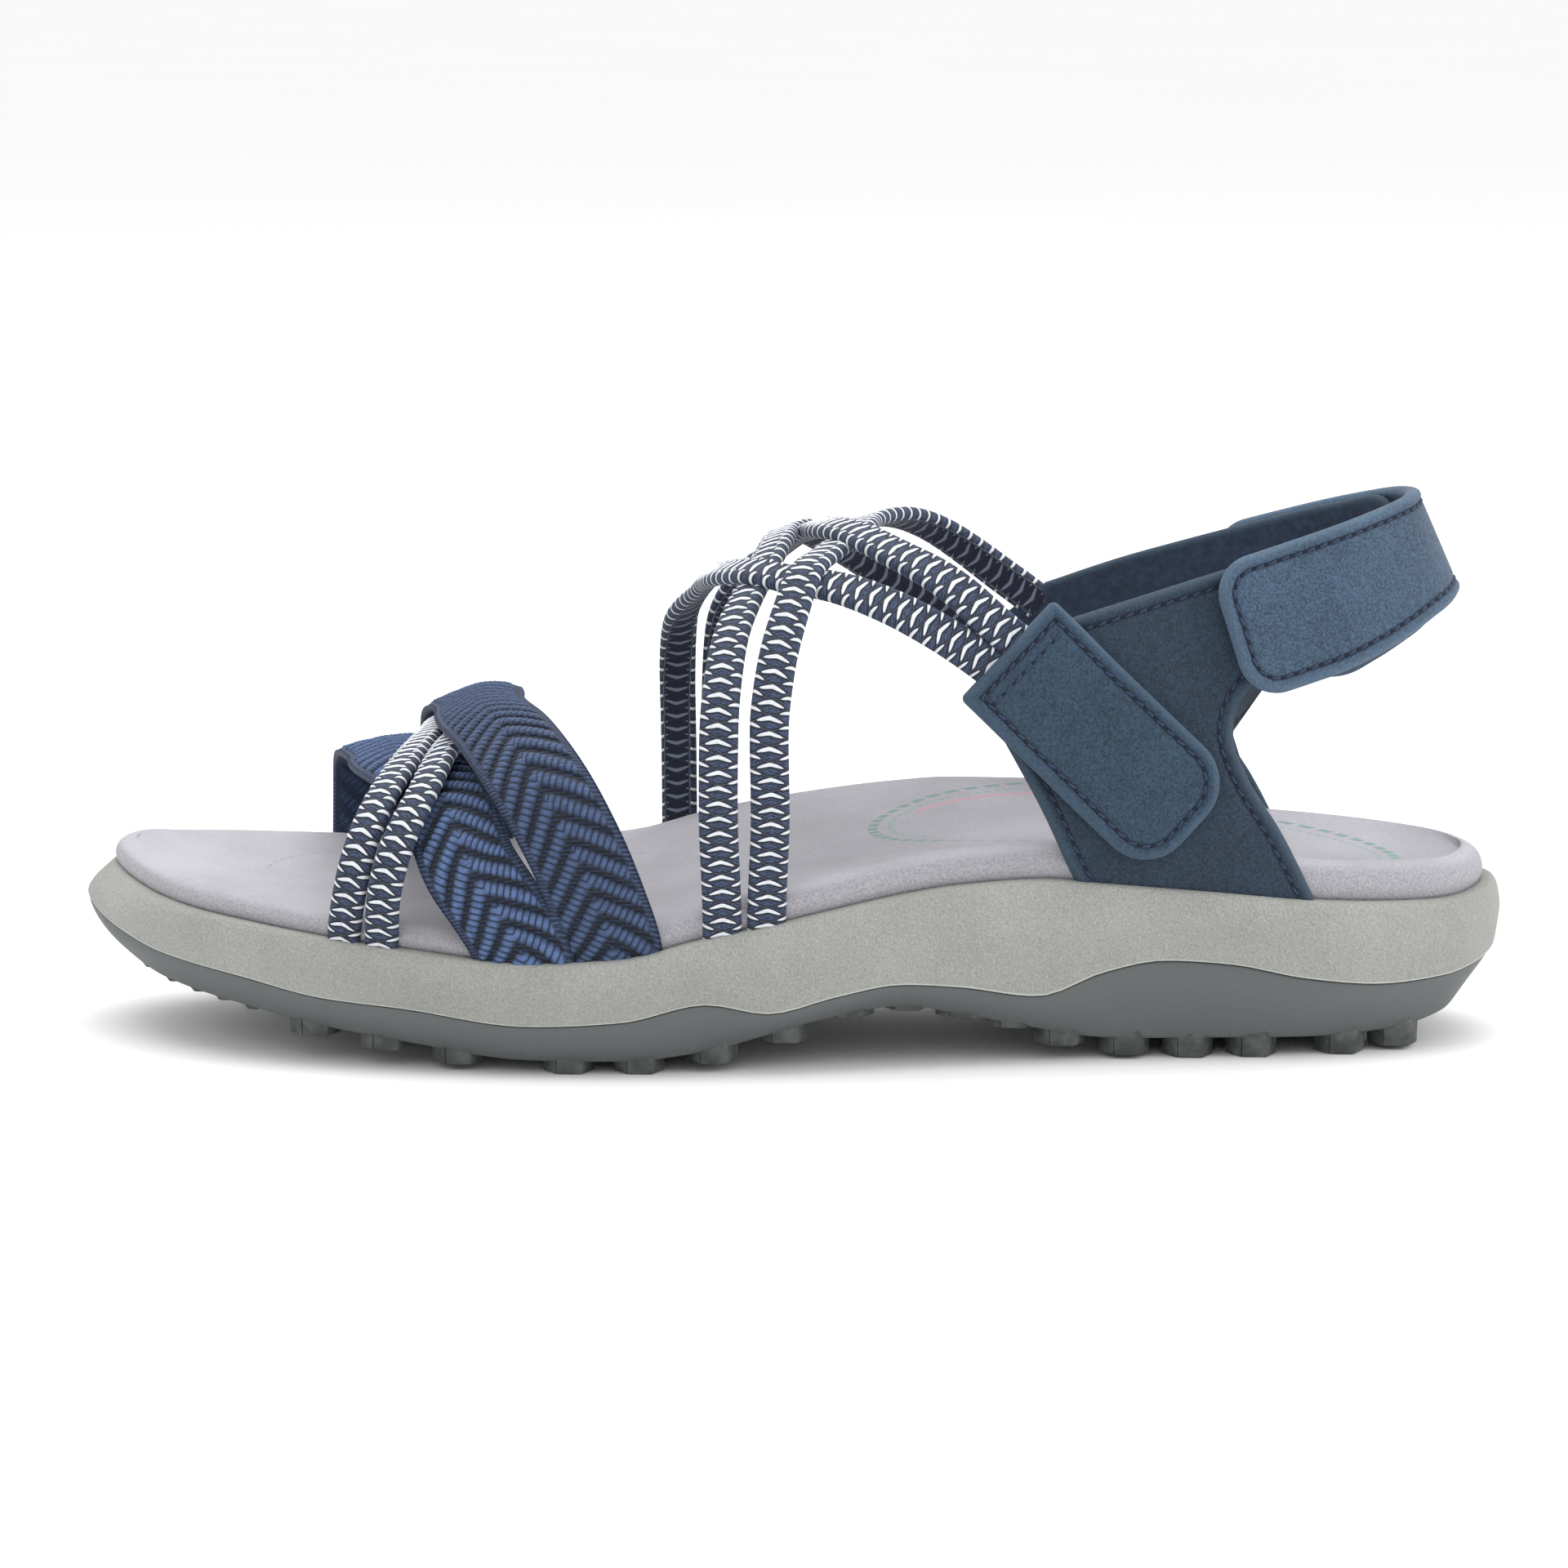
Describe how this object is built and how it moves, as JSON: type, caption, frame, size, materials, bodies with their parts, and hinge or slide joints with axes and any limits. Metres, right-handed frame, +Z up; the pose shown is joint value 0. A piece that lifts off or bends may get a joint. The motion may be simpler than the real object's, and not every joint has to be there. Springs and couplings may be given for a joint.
{
  "type": "strap sandal, left",
  "caption": "Left strap sandal: wavy two-part sole, cupped insole, woven toe bands, crossing instep cords, hook-and-loop heel strap and tab.",
  "frame": {"origin": "on the floor, under the middle of the shoe's length and breadth", "axes": "+X from the toe tip to the heel, +Y to the wearer's inner side, +Z up"},
  "size_m": [0.26, 0.0964, 0.0999],
  "materials": {
    "rubber_grey": "satin",
    "foam_sage": "matte",
    "suede_lilac": "matte",
    "webbing_blue": "matte",
    "cord_navy": "matte",
    "nubuck_navy": "matte"
  },
  "bodies": {
    "root": {"outsole": "rubber_grey", "midsole": "foam_sage", "insole": "suede_lilac", "toe_webbing": "webbing_blue", "toe_cord_front": "cord_navy", "toe_cord_rear": "cord_navy", "instep_cords": "cord_navy", "quarter_outer": "nubuck_navy", "quarter_inner": "nubuck_navy", "strap_tab": "nubuck_navy", "heel_strap": "nubuck_navy"}
  },
  "joints": []
}
